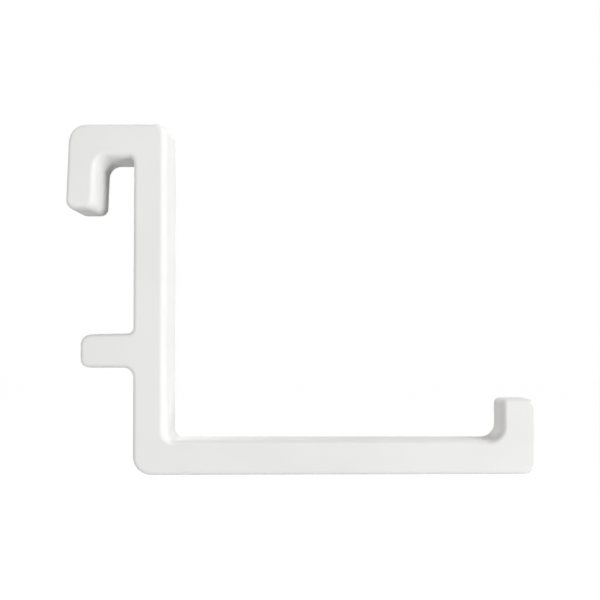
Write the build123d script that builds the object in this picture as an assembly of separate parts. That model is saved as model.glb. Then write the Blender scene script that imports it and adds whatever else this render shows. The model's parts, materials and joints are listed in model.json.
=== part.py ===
from build123d import *
import math
import os

# Moulded pegboard hook, in millimetres.
# X runs out from the board, Y across the hook's width and Z up.
# The origin lies on the stem's rear face, half-way between slot seat and peg.

# Slotted board that the hook hangs on
board_thickness = 5.0
slot_width = 5.0
slot_height = 15.0
slot_pitch = 40.0

# Play between the hook and the board
board_play = 1.1
slot_side_play = 0.1
slot_height_play = 0.45

# Finger behind the board, leaning away from it towards the tip
finger_depth = 5.1
finger_lean = 2.2

# Bar that lies in the upper slot
bar_height = 5.7

# Stem against the board's front, a little deeper at the foot
stem_depth = 5.6
stem_foot_depth = 5.65

# Peg that lies in the lower slot, with a top that falls towards the tip
peg_length = 8.9
peg_height = 5.85
peg_top_slope = 1.3
peg_sag = 0.3

# Arm that carries the load, lower at its tip, and the lug that keeps the load on
arm_drop = 48.0
arm_height = 5.9
arm_tip_height = 5.7
arm_span = 56.65
lug_depth = 6.1
lug_rise = 6.95

# Rounds of the outline, seen from the side
bend_round = 3.25
crown_round = 1.7
foot_round = 3.2
toe_round = 2.2
lug_outer_round = 1.5
peg_tip_top_round = 1.8
peg_tip_under_round = 1.45
finger_tip_round = 1.45
throat_finger_fillet = 2.0
throat_stem_fillet = 0.95
peg_top_fillet = 0.95
peg_under_fillet = 1.7
stem_arm_fillet = 1.5
arm_lug_fillet = 2.4

# Rounds along the two flat sides, and what a ball corner has beyond them
edge_round = 0.9
ball_corner_margin = 0.1

# Levels
hook_width = slot_width - 2 * slot_side_play
peg_centre_drop = slot_pitch - slot_height / 2 + peg_sag
seat_z = (peg_centre_drop - peg_height / 2) / 2
bar_top_z = seat_z + bar_height
finger_tip_z = bar_top_z - (slot_height - slot_height_play)
peg_top_z = seat_z - peg_centre_drop + peg_height / 2
peg_bottom_z = peg_top_z - peg_height
peg_tip_top_z = peg_top_z - peg_length * math.tan(math.radians(peg_top_slope))
arm_top_z = seat_z - arm_drop
arm_bottom_z = arm_top_z - arm_height
arm_tip_bottom_z = arm_top_z - arm_tip_height
lug_top_z = arm_top_z + lug_rise

# Distances from the board's front
throat_depth = board_thickness + board_play
lug_inner_x = stem_foot_depth + arm_span
lug_outer_x = lug_inner_x + lug_depth
ball_round = edge_round + ball_corner_margin


def finger_x(distance_at_seat, level):
    """X of a finger wall that stands the given distance behind the stem at the seat."""
    return (level - seat_z) * math.tan(math.radians(finger_lean)) - distance_at_seat


def outline_corners():
    """Corners of the side outline, clockwise from the bend, as X, Z and round."""
    finger_back = throat_depth + finger_depth
    crown = [
        (finger_x(finger_back, bar_top_z), bar_top_z, bend_round),
        (stem_depth, bar_top_z, crown_round),
    ]
    arm = [
        (stem_foot_depth, arm_top_z, stem_arm_fillet),
        (lug_inner_x, arm_top_z, arm_lug_fillet),
        (lug_inner_x, lug_top_z, ball_round),
        (lug_outer_x, lug_top_z, lug_outer_round),
        (lug_outer_x, arm_tip_bottom_z, toe_round),
        (0, arm_bottom_z, foot_round),
    ]
    peg = [
        (0, peg_bottom_z, peg_under_fillet),
        (-peg_length, peg_bottom_z, peg_tip_under_round),
        (-peg_length, peg_tip_top_z, peg_tip_top_round),
        (0, peg_top_z, peg_top_fillet),
    ]
    throat = [
        (0, seat_z, throat_stem_fillet),
        (finger_x(throat_depth, seat_z), seat_z, throat_finger_fillet),
    ]
    finger_tip = [
        (finger_x(throat_depth, finger_tip_z), finger_tip_z, finger_tip_round),
        (finger_x(finger_back, finger_tip_z), finger_tip_z, finger_tip_round),
    ]
    return crown + arm + peg + throat + finger_tip


def side_profile():
    """Side view of the whole hook as one face, with every corner rounded."""
    corners = outline_corners()
    outline = FilletPolyline(
        [(x, z) for x, z, _ in corners],
        radius=[corner_round for _, _, corner_round in corners],
        close=True,
    )
    return Plane.XZ * make_face(outline.edges())


def moulded_hook():
    """The hook in one piece, with the long edges of both flat sides rounded."""
    blank = extrude(side_profile(), amount=hook_width / 2, both=True)
    flat_sides = blank.faces().filter_by(Axis.Y)
    hook = fillet(flat_sides.edges(), radius=edge_round)
    hook.label = "hook"
    return hook


os.makedirs("parts", exist_ok=True)
export_step(moulded_hook(), "parts/hook.step")
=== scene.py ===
"""Studio picture of a moulded pegboard hook, seen square to its flat side.

Every length is in metres unless its name or its note says otherwise. X runs
out from the board, Y across the hook's width and Z up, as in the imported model.
"""

from __future__ import annotations

import json
import logging
import math
from dataclasses import dataclass, field
from enum import Enum

import bpy
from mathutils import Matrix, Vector


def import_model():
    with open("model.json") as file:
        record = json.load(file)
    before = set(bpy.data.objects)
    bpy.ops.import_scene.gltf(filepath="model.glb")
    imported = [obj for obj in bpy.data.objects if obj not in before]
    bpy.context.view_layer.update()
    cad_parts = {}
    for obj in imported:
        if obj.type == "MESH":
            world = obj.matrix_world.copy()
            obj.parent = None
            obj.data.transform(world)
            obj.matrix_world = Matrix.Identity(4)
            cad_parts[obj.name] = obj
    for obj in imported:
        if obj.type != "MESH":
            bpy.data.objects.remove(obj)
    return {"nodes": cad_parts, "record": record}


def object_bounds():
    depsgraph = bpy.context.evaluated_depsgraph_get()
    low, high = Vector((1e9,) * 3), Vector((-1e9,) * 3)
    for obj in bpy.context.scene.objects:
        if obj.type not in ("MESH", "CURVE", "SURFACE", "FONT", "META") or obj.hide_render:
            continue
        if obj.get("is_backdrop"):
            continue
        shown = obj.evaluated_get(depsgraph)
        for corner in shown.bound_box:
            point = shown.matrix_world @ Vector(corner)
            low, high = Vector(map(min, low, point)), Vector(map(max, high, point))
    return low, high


LOG = logging.getLogger("pegboard_hook")

MM = 0.001
MICROMETRE = 0.001 * MM
PLAIN_WHITE = (1.0, 1.0, 1.0, 1.0)
NEUTRAL_LIGHT = (1.0, 1.0, 1.0)
WARM_LIGHT = (1.0, 0.985, 0.95)

Socket = bpy.types.NodeSocket
Tree = bpy.types.NodeTree
Node = bpy.types.Node


class Side(Enum):
    """Names of the studio's softboxes, by where they stand."""

    RIGHT_LOW = "softbox_right_low"
    RIGHT = "softbox_right"
    RIGHT_HIGH = "softbox_right_high"
    RIGHT_END = "softbox_right_end"
    TOP = "softbox_top"
    LEFT = "softbox_left"
    LEFT_HIGH = "softbox_left_high"
    FRONT = "softbox_front"
    BEHIND = "softbox_behind"


def add_node(tree: Tree, kind: str, label: str, **settings: object) -> Node:
    """Adds a shader node with its settings.

    Args:
        tree: Node tree that takes the node.
        kind: Blender's type name of the node.
        label: Plain name shown on the node.
        **settings: Properties set on the node itself.

    Returns:
        The new node.
    """
    node = tree.nodes.new(kind)
    node.label = label
    for name, value in settings.items():
        setattr(node, name, value)
    return node


def set_inputs(node: Node, **values: object) -> None:
    """Sets constants on a node's sockets.

    Args:
        node: Node whose inputs are set.
        **values: Socket names with underscores for spaces, and their values.
    """
    for name, value in values.items():
        node.inputs[name.replace("_", " ")].default_value = value


def feed(tree: Tree, inlet: Socket, term: Socket | float | tuple[float, ...]) -> None:
    """Links a socket to an inlet, or sets a constant on it.

    Args:
        tree: Node tree that holds the inlet.
        inlet: Socket that takes the value.
        term: A socket, a number or a colour.
    """
    if isinstance(term, bpy.types.NodeSocket):
        tree.links.new(term, inlet)
    else:
        inlet.default_value = term


def calculate(tree: Tree, label: str, operation: str, *terms: Socket | float) -> Socket:
    """Adds a calculation.

    Args:
        tree: Node tree that takes the node.
        label: Plain name shown on the node.
        operation: Blender's name of the operation.
        *terms: What goes in, each a socket or a number.

    Returns:
        The socket that carries the result.
    """
    node = add_node(tree, "ShaderNodeMath", label, operation=operation)
    for inlet, term in zip(node.inputs, terms):
        feed(tree, inlet, term)
    return node.outputs[0]


def step(
    tree: Tree,
    label: str,
    value: Socket,
    start: Socket | float,
    end: Socket | float,
) -> Socket:
    """Adds a soft step from 0 at the start to 1 at the end.

    Args:
        tree: Node tree that takes the node.
        label: Plain name shown on the node.
        value: What the step goes by.
        start: Value at which the step is 0.
        end: Value at which the step is 1.

    Returns:
        The socket that carries the step.
    """
    node = add_node(tree, "ShaderNodeMapRange", label, interpolation_type="SMOOTHSTEP")
    tree.links.new(value, node.inputs["Value"])
    feed(tree, node.inputs["From Min"], start)
    feed(tree, node.inputs["From Max"], end)
    return node.outputs["Result"]


def noise(
    tree: Tree,
    label: str,
    place: Socket,
    scale: Socket,
    detail: float,
    roughness: float,
) -> Socket:
    """Adds a noise texture.

    Args:
        tree: Node tree that takes the node.
        label: Plain name shown on the node.
        place: Coordinates in metres.
        scale: Features to the metre.
        detail: Number of finer layers.
        roughness: Weight of the finer layers.

    Returns:
        The socket that carries the noise, from 0 to 1.
    """
    node = add_node(tree, "ShaderNodeTexNoise", label)
    set_inputs(node, Detail=detail, Roughness=roughness)
    tree.links.new(place, node.inputs["Vector"])
    tree.links.new(scale, node.inputs["Scale"])
    return node.outputs["Fac"]


def blend(
    tree: Tree,
    label: str,
    share: Socket,
    first: Socket | tuple[float, ...],
    second: Socket | tuple[float, ...],
) -> Socket:
    """Blends two colours.

    Args:
        tree: Node tree that takes the node.
        label: Plain name shown on the node.
        share: Share of the second colour.
        first: A socket or a colour.
        second: A socket or a colour.

    Returns:
        The socket that carries the blended colour.
    """
    node = add_node(tree, "ShaderNodeMix", label, data_type="RGBA")
    inlets = [socket for socket in node.inputs if socket.enabled]
    for inlet, term in zip(inlets, (share, first, second)):
        feed(tree, inlet, term)
    return next(socket for socket in node.outputs if socket.enabled)


def axis_of(tree: Tree, label: str, vector: Socket, axis: str) -> Socket:
    """Takes one axis out of a vector.

    Args:
        tree: Node tree that takes the node.
        label: Plain name shown on the node.
        vector: The vector.
        axis: X, Y or Z.

    Returns:
        The socket that carries the one axis.
    """
    node = add_node(tree, "ShaderNodeSeparateXYZ", label)
    tree.links.new(vector, node.inputs["Vector"])
    return node.outputs[axis]


def new_group(
    name: str,
    takes: dict[str, float],
    gives: tuple[str, ...],
) -> tuple[Tree, Node, Node]:
    """Starts a shader node group with named number sockets.

    Args:
        name: Name of the group.
        takes: Inputs and their usual values.
        gives: Outputs.

    Returns:
        The group, the node that brings its inputs and the node that takes its outputs.
    """
    tree = bpy.data.node_groups.new(name, "ShaderNodeTree")
    number = "NodeSocketFloat"
    for socket_name, usual in takes.items():
        socket = tree.interface.new_socket(socket_name, in_out="INPUT", socket_type=number)
        socket.default_value = usual
    for socket_name in gives:
        tree.interface.new_socket(socket_name, in_out="OUTPUT", socket_type=number)
    inlet = add_node(tree, "NodeGroupInput", "comes in")
    outlet = add_node(tree, "NodeGroupOutput", "goes out")
    return tree, inlet, outlet


def place_group(tree: Tree, group: Tree, label: str) -> Node:
    """Places a node group in a material.

    Args:
        tree: The material's nodes.
        group: The group.
        label: Plain name shown on the node.

    Returns:
        The placed node.
    """
    return add_node(tree, "ShaderNodeGroup", label, node_tree=group)


def background_ray(tree: Tree) -> Socket:
    """Marks the rays that are to find a plain white background.

    Args:
        tree: Node tree that takes the nodes.

    Returns:
        Socket that is 1 for camera, glossy and transmission rays, else 0.
    """
    ray = add_node(tree, "ShaderNodeLightPath", "kind of ray").outputs
    seen = calculate(
        tree, "camera or glossy", "MAXIMUM", ray["Is Camera Ray"], ray["Is Glossy Ray"]
    )
    return calculate(tree, "or transmission", "MAXIMUM", seen, ray["Is Transmission Ray"])


@dataclass(frozen=True)
class ViewPoint:
    """Where the photograph was taken from, worked out from its own lines.

    The camera looks square at the hook's flat side, but for a small tilt
    upwards. Pixels are counted from the picture's upper left corner.

    Attributes:
        picture_px: Side of the square picture.
        pixel: Length of one pixel on the flat side.
        rear_face_px: Pixel column of the stem's rear face.
        seat_px: Pixel row of the seat under the bar.
        eye_right_px: Pixel column of the point that faces the camera squarely.
        eye_down_px: Pixel row of that point.
        distance: Distance from the flat side to the camera.
        tilt: Upward tilt of the camera, in degrees.
        sensor_mm: Width of the camera's sensor, in millimetres.
        nearest_share: Nearest thing that the camera shows, as a share of the distance.
        furthest: Furthest thing that the camera shows.
    """

    picture_px: float = 600.0
    pixel: float = 0.168 * MM
    rear_face_px: float = 131.2
    seat_px: float = 155.2
    eye_right_px: float = 351.9
    eye_down_px: float = 354.8
    distance: float = 69.1 * MM
    tilt: float = 0.47
    sensor_mm: float = 36.0
    nearest_share: float = 0.05
    furthest: float = 20.0

    def place(self, rear_face: float, seat: float, flat_side: float) -> Vector:
        """Finds the camera's place.

        Args:
            rear_face: X of the stem's rear face.
            seat: Z of the seat under the bar.
            flat_side: Y of the flat side that faces the camera.

        Returns:
            The camera's place in the hook's frame.
        """
        across = (self.eye_right_px - self.rear_face_px) * self.pixel
        down = (self.eye_down_px - self.seat_px) * self.pixel
        return Vector((rear_face + across, flat_side - self.distance, seat - down))

    def lens_mm(self) -> float:
        """Focal length that gives the pixel its size on the flat side."""
        return self.sensor_mm * self.distance / (self.pixel * self.picture_px)

    def shift(self) -> tuple[float, float]:
        """Camera shift that keeps the eye's foot where the photograph has it."""
        middle = self.picture_px / 2
        rise_px = self.distance / self.pixel * math.tan(math.radians(self.tilt))
        right = (middle - self.eye_right_px) / self.picture_px
        up = (self.eye_down_px - rise_px - middle) / self.picture_px
        return right, up

    def build(self, place: Vector) -> bpy.types.Object:
        """Makes the camera and hands it to the scene.

        Args:
            place: The camera's place.

        Returns:
            The camera object.
        """
        lens = bpy.data.cameras.new("photo_view")
        lens.sensor_width = self.sensor_mm
        lens.lens = self.lens_mm()
        lens.shift_x, lens.shift_y = self.shift()
        lens.clip_start = self.distance * self.nearest_share
        lens.clip_end = self.furthest
        camera = bpy.data.objects.new("photo_view", lens)
        camera.location = place
        camera.rotation_euler = (math.pi / 2 + math.radians(self.tilt), 0.0, 0.0)
        bpy.context.scene.collection.objects.link(camera)
        bpy.context.scene.camera = camera
        return camera


@dataclass(frozen=True)
class Softbox:
    """One large soft lamp that looks at the middle of the hook.

    Attributes:
        side: Name of the softbox.
        azimuth: Turn from +X towards the camera's side, in degrees.
        elevation: Height above the horizon, in degrees.
        distance: Distance from the hook's middle.
        width: Width of the lamp.
        height: Height of the lamp.
        share: Brightness that it alone gives a white surface that faces it.
        warmth: Colour of the light.
    """

    side: Side
    azimuth: float
    elevation: float
    distance: float
    width: float
    height: float
    share: float
    warmth: tuple[float, float, float] = NEUTRAL_LIGHT

    def direction(self) -> Vector:
        """Unit vector from the hook's middle to the lamp."""
        turn = math.radians(self.azimuth)
        rise = math.radians(self.elevation)
        level = math.cos(rise)
        return Vector((math.cos(turn) * level, -math.sin(turn) * level, math.sin(rise)))

    def build(self, target: Vector) -> None:
        """Makes the lamp.

        Args:
            target: Point that the lamp faces.
        """
        lamp = bpy.data.lights.new(self.side.value, "AREA")
        lamp.shape = "RECTANGLE"
        lamp.size = self.width
        lamp.size_y = self.height
        lamp.color = self.warmth
        # Power P lights a facing surface with P / (pi d^2), and white sends back a pi-th of that.
        lamp.energy = self.share * (math.pi * self.distance) ** 2
        holder = bpy.data.objects.new(self.side.value, lamp)
        holder.location = target + self.direction() * self.distance
        holder.rotation_euler = self.direction().to_track_quat("Z", "Y").to_euler()
        bpy.context.scene.collection.objects.link(holder)


@dataclass(frozen=True)
class Studio:
    """Plain pale floor, even surrounding light and softboxes.

    Attributes:
        floor_drop: Distance from the hook's lowest point down to the floor.
        floor_size: Side of the square floor.
        floor_colour: Colour of the floor.
        floor_glow: Share of the floor's white that doesn't depend on the lamps.
        surround: Brightness of the light that comes from all round.
        softboxes: The lamps.
    """

    floor_drop: float = 0.3
    floor_size: float = 12.0
    floor_colour: tuple[float, float, float, float] = (0.6, 0.6, 0.6, 1.0)
    floor_glow: float = 0.99
    surround: float = 0.01
    softboxes: tuple[Softbox, ...] = (
        Softbox(
            Side.RIGHT_LOW,
            azimuth=23.2, elevation=-32.0, distance=0.42,
            width=0.08, height=0.16, share=0.335,
        ),
        Softbox(
            Side.RIGHT,
            azimuth=23.2, elevation=0.0, distance=0.42,
            width=0.08, height=0.16, share=0.38,
        ),
        Softbox(
            Side.RIGHT_HIGH,
            azimuth=23.2, elevation=30.0, distance=0.42,
            width=0.08, height=0.17, share=0.255,
        ),
        Softbox(
            Side.RIGHT_END,
            azimuth=-4.0, elevation=12.0, distance=0.5,
            width=0.12, height=0.20, share=0.03,
        ),
        Softbox(
            Side.TOP,
            azimuth=-10.0, elevation=62.0, distance=0.5,
            width=0.24, height=0.20, share=0.43,
        ),
        Softbox(
            Side.LEFT,
            azimuth=180.0, elevation=0.0, distance=0.5,
            width=0.20, height=0.20, share=0.10,
            warmth=WARM_LIGHT,
        ),
        Softbox(
            Side.LEFT_HIGH,
            azimuth=120.0, elevation=30.0, distance=0.5,
            width=0.20, height=0.20, share=0.18,
        ),
        Softbox(
            Side.FRONT,
            azimuth=106.0, elevation=0.0, distance=0.5,
            width=0.22, height=0.20, share=0.395,
        ),
        Softbox(
            Side.BEHIND,
            azimuth=245.0, elevation=16.0, distance=0.5,
            width=0.22, height=0.20, share=0.42,
            warmth=WARM_LIGHT,
        ),
    )

    def floor_finish(self) -> bpy.types.Material:
        """White floor that keeps a soft shadow when the camera looks at it."""
        material = bpy.data.materials.new("studio_floor")
        material.use_nodes = True
        tree = material.node_tree
        tree.nodes.clear()
        paint = add_node(tree, "ShaderNodeBsdfDiffuse", "floor paint")
        set_inputs(paint, Color=self.floor_colour)
        glow = add_node(tree, "ShaderNodeEmission", "even white")
        set_inputs(glow, Color=PLAIN_WHITE, Strength=self.floor_glow)
        both = add_node(tree, "ShaderNodeAddShader", "paint and white")
        pick = add_node(tree, "ShaderNodeMixShader", "white where it is seen")
        out = add_node(tree, "ShaderNodeOutputMaterial", "floor")
        link = tree.links.new
        link(paint.outputs["BSDF"], both.inputs[0])
        link(glow.outputs["Emission"], both.inputs[1])
        link(background_ray(tree), pick.inputs["Fac"])
        link(paint.outputs["BSDF"], pick.inputs[1])
        link(both.outputs["Shader"], pick.inputs[2])
        link(pick.outputs["Shader"], out.inputs["Surface"])
        return material

    def build_floor(self, centre: Vector, lowest: float) -> None:
        """Lays the floor under the hook.

        Args:
            centre: Middle of the hook.
            lowest: Z of the hook's lowest point.
        """
        half = self.floor_size / 2
        signs = ((-1, -1), (1, -1), (1, 1), (-1, 1))
        corners = [(across * half, along * half, 0.0) for across, along in signs]
        mesh = bpy.data.meshes.new("studio_floor")
        mesh.from_pydata(corners, [], [(0, 1, 2, 3)])
        mesh.materials.append(self.floor_finish())
        floor = bpy.data.objects.new("studio_floor", mesh)
        floor.location = (centre.x, centre.y, lowest - self.floor_drop)
        bpy.context.scene.collection.objects.link(floor)
        floor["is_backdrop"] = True

    def build_surround(self) -> None:
        """Even light from all round, plain white where the camera sees it."""
        world = bpy.data.worlds.new("studio")
        world.use_nodes = True
        tree = world.node_tree
        tree.nodes.clear()
        light = add_node(tree, "ShaderNodeBackground", "surrounding light")
        set_inputs(light, Color=PLAIN_WHITE, Strength=self.surround)
        white = add_node(tree, "ShaderNodeBackground", "white background")
        set_inputs(white, Color=PLAIN_WHITE, Strength=1.0)
        pick = add_node(tree, "ShaderNodeMixShader", "white where it is seen")
        out = add_node(tree, "ShaderNodeOutputWorld", "studio")
        link = tree.links.new
        link(background_ray(tree), pick.inputs["Fac"])
        link(light.outputs["Background"], pick.inputs[1])
        link(white.outputs["Background"], pick.inputs[2])
        link(pick.outputs["Shader"], out.inputs["Surface"])
        bpy.context.scene.world = world

    def build(self, centre: Vector, lowest: float) -> None:
        """Builds the floor, the surrounding light and the softboxes.

        Args:
            centre: Middle of the hook.
            lowest: Z of the hook's lowest point.
        """
        self.build_floor(centre, lowest)
        self.build_surround()
        for softbox in self.softboxes:
            softbox.build(centre)


class MouldedGrain:
    """Node group for the relief that the mould gives the whole skin.

    A fine grain lies over long, low waves where the plastic shrank unevenly.
    """

    NAME = "moulded_grain"

    @classmethod
    def build(cls) -> Tree:
        """Makes the group, with Height in micrometres and Patch from 0 to 1."""
        tree, inlet, outlet = new_group(
            cls.NAME,
            {"Grain Scale": 3000.0, "Grain Depth": 1.0, "Wave Scale": 90.0, "Wave Depth": 8.0},
            ("Height", "Patch"),
        )
        place = add_node(tree, "ShaderNodeTexCoord", "place on the hook").outputs["Object"]
        fine_scale, long_scale = inlet.outputs["Grain Scale"], inlet.outputs["Wave Scale"]
        grain = noise(tree, "fine grain", place, fine_scale, detail=3.0, roughness=0.6)
        wave = noise(tree, "long waves", place, long_scale, detail=2.0, roughness=0.45)
        fine = calculate(tree, "grain depth", "MULTIPLY", grain, inlet.outputs["Grain Depth"])
        long = calculate(tree, "wave depth", "MULTIPLY", wave, inlet.outputs["Wave Depth"])
        height = calculate(tree, "whole relief", "ADD", fine, long)
        tree.links.new(height, outlet.inputs["Height"])
        tree.links.new(wave, outlet.inputs["Patch"])
        return tree


class PartingLine:
    """Node group for the fine line where the mould's halves met."""

    NAME = "parting_line"

    @classmethod
    def build(cls) -> Tree:
        """Makes the group, with a Mask that is 1 on the line at mid width."""
        takes = {"Middle": 0.0, "Half Width": 0.04 * MM, "Full Share": 0.2}
        tree, inlet, outlet = new_group(cls.NAME, takes, ("Mask",))
        coordinates = add_node(tree, "ShaderNodeTexCoord", "place and direction")
        across = axis_of(tree, "across the width", coordinates.outputs["Object"], "Y")
        aside = calculate(tree, "from the middle", "SUBTRACT", across, inlet.outputs["Middle"])
        away = calculate(tree, "distance from it", "ABSOLUTE", aside)
        share = calculate(tree, "in half widths", "DIVIDE", away, inlet.outputs["Half Width"])
        line = step(tree, "on the line", share, 1.0, inlet.outputs["Full Share"])
        tree.links.new(line, outlet.inputs["Mask"])
        return tree


class LongEdgePolishAndShade:
    """Node group for the rounds along the flat sides, where the tool was polished; its mask also
    lays a painted shade on them.

    Every limit is the size of the surface direction's Y: 0 on a wall and 1 on
    a flat side.
    """

    NAME = "long_edge_polish_and_shade"

    @classmethod
    def build(cls) -> Tree:
        """Makes the group, with a Mask that is 1 half-way round an edge."""
        takes = {"Wall Side": 0.1, "Wall Full": 0.55, "Flat Side": 0.98, "Flat Full": 0.7}
        tree, inlet, outlet = new_group(cls.NAME, takes, ("Mask",))
        limit = inlet.outputs
        direction = add_node(tree, "ShaderNodeTexCoord", "direction").outputs["Normal"]
        facing = axis_of(tree, "towards a flat side", direction, "Y")
        turned = calculate(tree, "either flat side", "ABSOLUTE", facing)
        off_wall = step(tree, "off the wall", turned, limit["Wall Side"], limit["Wall Full"])
        off_flat = step(tree, "off the flat side", turned, limit["Flat Side"], limit["Flat Full"])
        mask = calculate(tree, "on the round", "MULTIPLY", off_wall, off_flat)
        tree.links.new(mask, outlet.inputs["Mask"])
        return tree


class RubbedFace:
    """Node group for a level face that rubs against the board or the load.

    Each pair of limits gives where a mask starts and where it is full: by the
    distance from the face in reaches, by how level the surface is, and by the
    noise that makes the strokes.
    """

    NAME = "rubbed_face"
    NEAR = (1.0, 0.2)
    LEVEL = (0.75, 0.98)
    WORN = (0.45, 0.75)
    STRETCH = (1.0, 0.08, 1.0)

    @classmethod
    def build(cls) -> Tree:
        """Makes the group, with a Mask of fine strokes across one level face."""
        tree, inlet, outlet = new_group(
            cls.NAME,
            {"Level": 0.0, "Reach": 0.5 * MM, "Facing": 1.0, "Stroke Scale": 900.0},
            ("Mask",),
        )
        coordinates = add_node(tree, "ShaderNodeTexCoord", "place and direction")
        height = axis_of(tree, "height", coordinates.outputs["Object"], "Z")
        offset = calculate(tree, "from the face", "SUBTRACT", height, inlet.outputs["Level"])
        away = calculate(tree, "distance from it", "ABSOLUTE", offset)
        share = calculate(tree, "in reaches", "DIVIDE", away, inlet.outputs["Reach"])
        near = step(tree, "close to the face", share, *cls.NEAR)
        upward = axis_of(tree, "upward", coordinates.outputs["Normal"], "Z")
        toward = calculate(tree, "the way it faces", "MULTIPLY", upward, inlet.outputs["Facing"])
        level = step(tree, "level enough", toward, *cls.LEVEL)
        stretch = add_node(tree, "ShaderNodeMapping", "long across the width")
        set_inputs(stretch, Scale=cls.STRETCH)
        tree.links.new(coordinates.outputs["Object"], stretch.inputs["Vector"])
        stretched, scale = stretch.outputs["Vector"], inlet.outputs["Stroke Scale"]
        strokes = noise(tree, "strokes", stretched, scale, detail=2.0, roughness=0.6)
        worn = step(tree, "where it touched", strokes, *cls.WORN)
        face = calculate(tree, "the level face", "MULTIPLY", near, level)
        mask = calculate(tree, "strokes on it", "MULTIPLY", face, worn)
        tree.links.new(mask, outlet.inputs["Mask"])
        return tree


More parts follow.
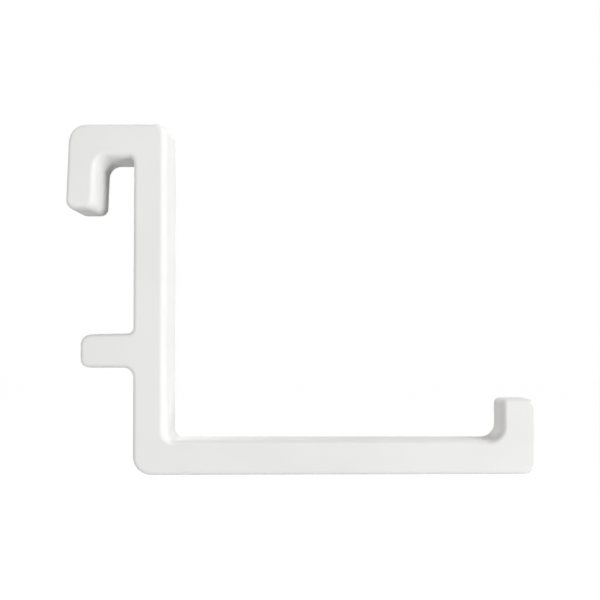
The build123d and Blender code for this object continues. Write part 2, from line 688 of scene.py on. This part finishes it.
@dataclass(frozen=True)
class SatinPlastic:
    """Finish of the moulded white plastic.

    Attributes:
        name: Name of the material.
        white: Colour of the skin.
        cream: Slightly darker, warmer colour that drifts through the white.
        drift: Share of the cream where the drift is strongest.
        cream_patch: Values of the long waves where cream starts and is full.
        edge: Darker colour of the long rounds, a painted shade that holds down their highlight.
        smoothest: Roughness where the skin is smoothest.
        roughest: Roughness where the skin is roughest.
        gloss_patch: Values of the long waves where the skin is smoothest and roughest.
        polish_gain: How much smoother the long rounds are.
        rub_gain: How much smoother the rubbed faces are.
        index: Index of refraction.
        grain_depth: Depth of the fine grain, in micrometres.
        wave_depth: Depth of the long waves, in micrometres.
        line_height: Height of the parting line, in micrometres.
    """

    name: str = "satin_white_plastic"
    white: tuple[float, float, float, float] = (0.868, 0.868, 0.860, 1.0)
    cream: tuple[float, float, float, float] = (0.834, 0.831, 0.813, 1.0)
    drift: float = 0.5
    cream_patch: tuple[float, float] = (0.35, 0.7)
    # Painted shade: the long rounds get a darker colour to hold down the highlight that the lamps
    # put on them.
    edge: tuple[float, float, float, float] = (0.814, 0.811, 0.798, 1.0)
    smoothest: float = 0.72
    roughest: float = 0.80
    gloss_patch: tuple[float, float] = (0.3, 0.7)
    polish_gain: float = 0.03
    rub_gain: float = 0.10
    index: float = 1.5
    grain_depth: float = 2.4
    wave_depth: float = 16.0
    line_height: float = 5.0

    def relief(self, tree: Tree, grain: Node, line: Node, skin: Node) -> None:
        """Leads grain, waves and parting line to the skin's normal.

        Args:
            tree: The material's nodes.
            grain: Placed grain group.
            line: Placed parting line group.
            skin: Shader of the skin.
        """
        ridge = calculate(tree, "line height", "MULTIPLY", line.outputs["Mask"], self.line_height)
        height = calculate(tree, "relief", "ADD", grain.outputs["Height"], ridge)
        bump = add_node(tree, "ShaderNodeBump", "relief in micrometres")
        set_inputs(bump, Strength=1.0, Distance=MICROMETRE)
        tree.links.new(height, bump.inputs["Height"])
        tree.links.new(bump.outputs["Normal"], skin.inputs["Normal"])

    def tone(self, tree: Tree, grain: Node, polish_and_shade: Node, skin: Node) -> None:
        """Lets the white drift a little, and darkens the long rounds with a painted shade that
        holds down their highlight.

        Args:
            tree: The material's nodes.
            grain: Placed grain group.
            polish_and_shade: Placed long edge group.
            skin: Shader of the skin.
        """
        patch = step(tree, "creamy patches", grain.outputs["Patch"], *self.cream_patch)
        share = calculate(tree, "how creamy", "MULTIPLY", patch, self.drift)
        face = blend(tree, "white and cream", share, self.white, self.cream)
        # Painted shade: the darker round colour is laid on the long rounds by the polish mask.
        whole = blend(tree, "faces and painted shade on rounds", polish_and_shade.outputs["Mask"], face, self.edge)
        tree.links.new(whole, skin.inputs["Base Color"])

    def gloss(
        self, tree: Tree, grain: Node, polish_and_shade: Node, rubs: list[Node], skin: Node
    ) -> None:
        """Sets the roughness from patches, polished rounds and rubbed faces.

        Args:
            tree: The material's nodes.
            grain: Placed grain group.
            polish_and_shade: Placed long edge group.
            rubs: Placed rubbed face groups.
            skin: Shader of the skin.
        """
        spread = add_node(tree, "ShaderNodeMapRange", "patchy roughness")
        low, high = self.gloss_patch
        set_inputs(spread, From_Min=low, From_Max=high)
        set_inputs(spread, To_Min=self.smoothest, To_Max=self.roughest)
        tree.links.new(grain.outputs["Patch"], spread.inputs["Value"])
        rough = spread.outputs["Result"]
        gain = calculate(tree, "polished", "MULTIPLY", polish_and_shade.outputs["Mask"], self.polish_gain)
        rough = calculate(tree, "smoother rounds", "SUBTRACT", rough, gain)
        for rub in rubs:
            worn = calculate(tree, "worn", "MULTIPLY", rub.outputs["Mask"], self.rub_gain)
            rough = calculate(tree, "smoother strokes", "SUBTRACT", rough, worn)
        tree.links.new(rough, skin.inputs["Roughness"])

    def build(self, arm_top: float, seat: float) -> bpy.types.Material:
        """Makes the material.

        Args:
            arm_top: Z of the arm's top, which the load rubs.
            seat: Z of the seat under the bar, which the board rubs.

        Returns:
            The material.
        """
        material = bpy.data.materials.new(self.name)
        material.use_nodes = True
        tree = material.node_tree
        tree.nodes.clear()
        skin = add_node(tree, "ShaderNodeBsdfPrincipled", "moulded skin")
        set_inputs(skin, IOR=self.index)
        grain = place_group(tree, MouldedGrain.build(), "grain and waves")
        set_inputs(grain, Grain_Depth=self.grain_depth, Wave_Depth=self.wave_depth)
        line = place_group(tree, PartingLine.build(), "parting line")
        # This mask makes the long rounds smoother and also lays the painted shade on them.
        polish_and_shade = place_group(tree, LongEdgePolishAndShade.build(), "polished rounds and painted shade")
        rubbed = RubbedFace.build()
        under_load = place_group(tree, rubbed, "rubbed by the load")
        set_inputs(under_load, Level=arm_top, Facing=1.0)
        on_board = place_group(tree, rubbed, "rubbed by the board")
        set_inputs(on_board, Level=seat, Facing=-1.0)
        self.relief(tree, grain, line, skin)
        self.tone(tree, grain, polish_and_shade, skin)
        self.gloss(tree, grain, polish_and_shade, [under_load, on_board], skin)
        out = add_node(tree, "ShaderNodeOutputMaterial", "plastic")
        tree.links.new(skin.outputs["BSDF"], out.inputs["Surface"])
        return material


def mount_place(record: dict, name: str) -> Vector:
    """Looks up where a mount is.

    Args:
        record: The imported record.
        name: Name of the mount.

    Returns:
        The mount's place in the hook's frame.
    """
    places = {mount["name"]: mount["pos_m"] for mount in record["mounts"]}
    return Vector(places[name])


@dataclass
class MouldedHook:
    """The hook itself, one moulded piece.

    Attributes:
        rear_face: X of the stem's rear face.
        seat: Z of the seat under the bar.
        arm_top: Z of the arm's top.
        node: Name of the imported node.
        finish: Finish of its surface.
    """

    rear_face: float
    seat: float
    arm_top: float
    node: str = "hook"
    finish: SatinPlastic = field(default_factory=SatinPlastic)

    @classmethod
    def from_record(cls, record: dict) -> MouldedHook:
        """Reads the hook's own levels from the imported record.

        Args:
            record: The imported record.

        Returns:
            The hook.
        """
        return cls(
            rear_face=mount_place(record, "board_face").x,
            seat=mount_place(record, "slot_seat").z,
            arm_top=mount_place(record, "arm_top").z,
        )

    def dress(self, nodes: dict[str, bpy.types.Object]) -> bpy.types.Object:
        """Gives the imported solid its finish.

        Args:
            nodes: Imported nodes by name.

        Returns:
            The dressed object.
        """
        hook = nodes[self.node]
        material = self.finish.build(self.arm_top, self.seat)
        for slot in hook.material_slots:
            slot.material = material
        return hook


def main() -> None:
    """Builds the whole scene in order and notes each piece."""
    logging.basicConfig(level=logging.INFO, format="%(name)s: %(message)s")
    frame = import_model()
    cad_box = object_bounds()
    low, high = cad_box
    centre = (low + high) / 2

    hook = MouldedHook.from_record(frame["record"])
    dressed = hook.dress(frame["nodes"])
    LOG.info("dressed %s with %d faces", dressed.name, len(dressed.data.polygons))

    view = ViewPoint()
    camera = view.build(view.place(hook.rear_face, hook.seat, low.y))
    LOG.info("camera at %s, lens %.2f mm", tuple(camera.location), camera.data.lens)

    studio = Studio()
    studio.build(centre, low.z)
    LOG.info("studio with %d softboxes", len(studio.softboxes))

    bpy.context.scene.view_settings.view_transform = "Standard"


if __name__ == "__main__":
    main()
